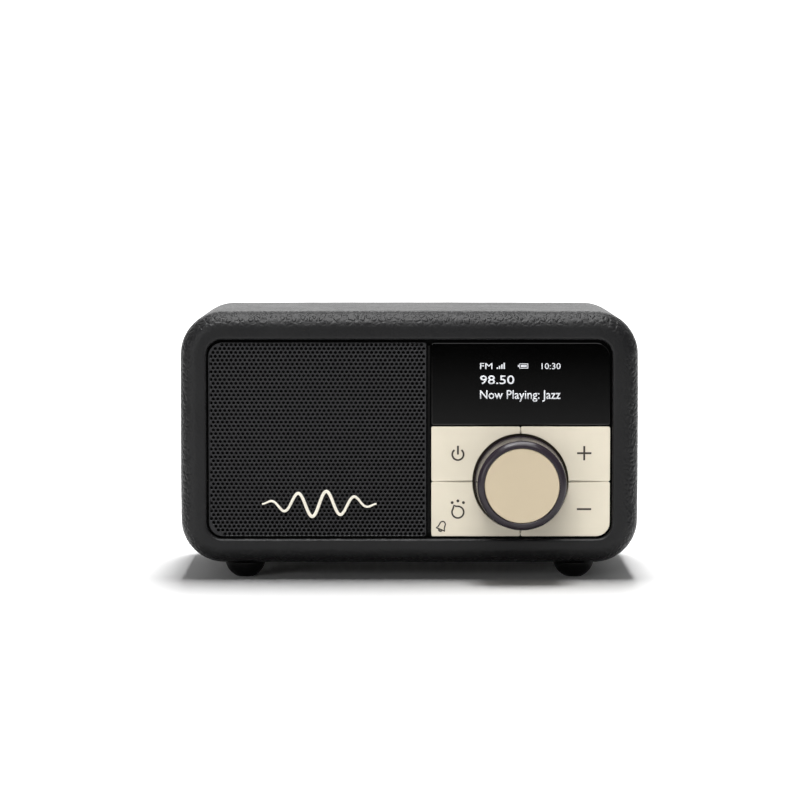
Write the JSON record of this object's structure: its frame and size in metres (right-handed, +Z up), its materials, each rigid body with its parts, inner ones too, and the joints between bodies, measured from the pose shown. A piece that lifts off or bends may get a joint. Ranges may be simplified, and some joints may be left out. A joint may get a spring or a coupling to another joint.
{
  "type": "tabletop radio",
  "caption": "Small leathercloth-covered table radio with perforated speaker grille, display window, push keys, push-and-turn dial and folding telescopic aerial.",
  "frame": {"origin": "on the supporting surface, under the centre of the whole object's box", "axes": "+X to the right seen from the front, +Y from the front to the back, +Z up"},
  "size_m": [0.1504, 0.0954, 0.088],
  "materials": {
    "leathercloth": "satin, pebbled black leathercloth",
    "black_plastic": "fine matt moulding",
    "cream_plastic": "satin moulding",
    "champagne": "satin champagne disc",
    "dial_plastic": "glossy dark brown moulding",
    "grille_paint": "satin dark grey paint on perforated sheet",
    "badge_enamel": "satin cream enamel",
    "window_acrylic": "polished black acrylic",
    "display_glass": "black display panel",
    "rubber": "matt black rubber",
    "steel": "bright plated steel",
    "chrome": "polished",
    "ferrite": "matt sintered ferrite",
    "paper_cone": "pressed black paper",
    "copper": "enamelled copper winding",
    "board_green": "green solder resist",
    "foam": "closed-cell foam and treated cloth",
    "cell_wrap": "blue shrink sleeve",
    "wire_sleeve": "red PVC sleeve"
  },
  "bodies": {
    "radio": {"leathercloth_cover": "leathercloth", "case_shell": "black_plastic", "rear_panel": "black_plastic", "front_baffle": "black_plastic", "encoder_body": "black_plastic", "radiator_frame": "black_plastic", "headphone_socket": "black_plastic", "battery_tray": "black_plastic", "aerial_lead": "black_plastic", "key_backing": "cream_plastic", "speaker_grille": "grille_paint", "grille_badge": "badge_enamel", "display_window": "window_acrylic", "display_module": "display_glass", "foot_front_left": "rubber", "foot_front_right": "rubber", "foot_rear_left": "rubber", "foot_rear_right": "rubber", "speaker_surround": "rubber", "radiator_surround": "rubber", "rear_screw_1": "steel", "rear_screw_2": "steel", "rear_screw_3": "steel", "rear_screw_4": "steel", "speaker_frame": "steel", "speaker_top_plate": "steel", "speaker_yoke": "steel", "tact_switch_power": "steel", "tact_switch_source": "steel", "tact_switch_volume_up": "steel", "tact_switch_volume_down": "steel", "tuner_shield": "steel", "usb_c_socket": "steel", "speaker_magnet": "ferrite", "front_board": "board_green", "main_board": "board_green", "speaker_gasket": "foam", "speaker_spider": "foam", "ribbon_cable": "foam", "battery_pack": "cell_wrap", "speaker_lead": "wire_sleeve"},
    "power_key": {"key_power": "cream_plastic"},
    "source_key": {"key_source": "cream_plastic"},
    "volume_up_key": {"key_volume_up": "cream_plastic"},
    "volume_down_key": {"key_volume_down": "cream_plastic"},
    "dial_plunger": {"encoder_plunger": "black_plastic"},
    "dial": {"knob_body": "dial_plastic", "knob_cap": "champagne", "encoder_shaft": "steel"},
    "speaker_diaphragm": {"speaker_cone": "paper_cone", "speaker_dust_cap": "paper_cone", "voice_coil": "copper"},
    "bass_radiator": {"radiator_plate": "paper_cone"},
    "aerial_turret": {"aerial_base": "black_plastic", "aerial_pin": "steel"},
    "aerial_arm": {"aerial_knuckle": "black_plastic", "aerial_section_1": "chrome"},
    "aerial_tube_2": {"aerial_section_2": "chrome"},
    "aerial_tube_3": {"aerial_section_3": "chrome"},
    "aerial_rod": {"aerial_section_4": "chrome"}
  },
  "joints": [
    {"name": "power_press", "type": "slide", "parent": "radio", "child": "power_key", "axis": [0, 1, 0], "range_m": [0, 0.0006], "stiffness_N_per_m": 3000},
    {"name": "source_press", "type": "slide", "parent": "radio", "child": "source_key", "axis": [0, 1, 0], "range_m": [0, 0.0006], "stiffness_N_per_m": 3000},
    {"name": "volume_up_press", "type": "slide", "parent": "radio", "child": "volume_up_key", "axis": [0, 1, 0], "range_m": [0, 0.0006], "stiffness_N_per_m": 3000},
    {"name": "volume_down_press", "type": "slide", "parent": "radio", "child": "volume_down_key", "axis": [0, 1, 0], "range_m": [0, 0.0006], "stiffness_N_per_m": 3000},
    {"name": "dial_push", "type": "slide", "parent": "radio", "child": "dial_plunger", "axis": [0, 1, 0], "range_m": [0, 0.0005], "stiffness_N_per_m": 4000},
    {"name": "dial_turn", "type": "hinge", "parent": "dial_plunger", "child": "dial", "pos_m": [0.0364, 0, 0.0321], "axis": [0, 1, 0], "continuous": true},
    {"name": "diaphragm_excursion", "type": "slide", "parent": "radio", "child": "speaker_diaphragm", "axis": [0, 1, 0], "range_m": [-0.001, 0.001], "stiffness_N_per_m": 1500, "deforming": ["speaker_surround", "speaker_spider"]},
    {"name": "radiator_excursion", "type": "slide", "parent": "radio", "child": "bass_radiator", "axis": [0, 1, 0], "range_m": [-0.0015, 0.0015], "stiffness_N_per_m": 600, "deforming": ["radiator_surround"]},
    {"name": "aerial_swivel", "type": "hinge", "parent": "radio", "child": "aerial_turret", "pos_m": [-0.054, 0.0445, 0.0745], "axis": [0, -1, 0], "range_deg": [0, 180]},
    {"name": "aerial_tilt", "type": "hinge", "parent": "aerial_turret", "child": "aerial_arm", "pos_m": [-0.054, 0.0445, 0.0745], "axis": [0, 0, 1], "range_deg": [0, 90]},
    {"name": "aerial_slide_2", "type": "slide", "parent": "aerial_arm", "child": "aerial_tube_2", "axis": [1, 0, 0], "range_m": [0, 0.085]},
    {"name": "aerial_slide_3", "type": "slide", "parent": "aerial_tube_2", "child": "aerial_tube_3", "axis": [1, 0, 0], "range_m": [0, 0.085]},
    {"name": "aerial_slide_4", "type": "slide", "parent": "aerial_tube_3", "child": "aerial_rod", "axis": [1, 0, 0], "range_m": [0, 0.085]}
  ]
}
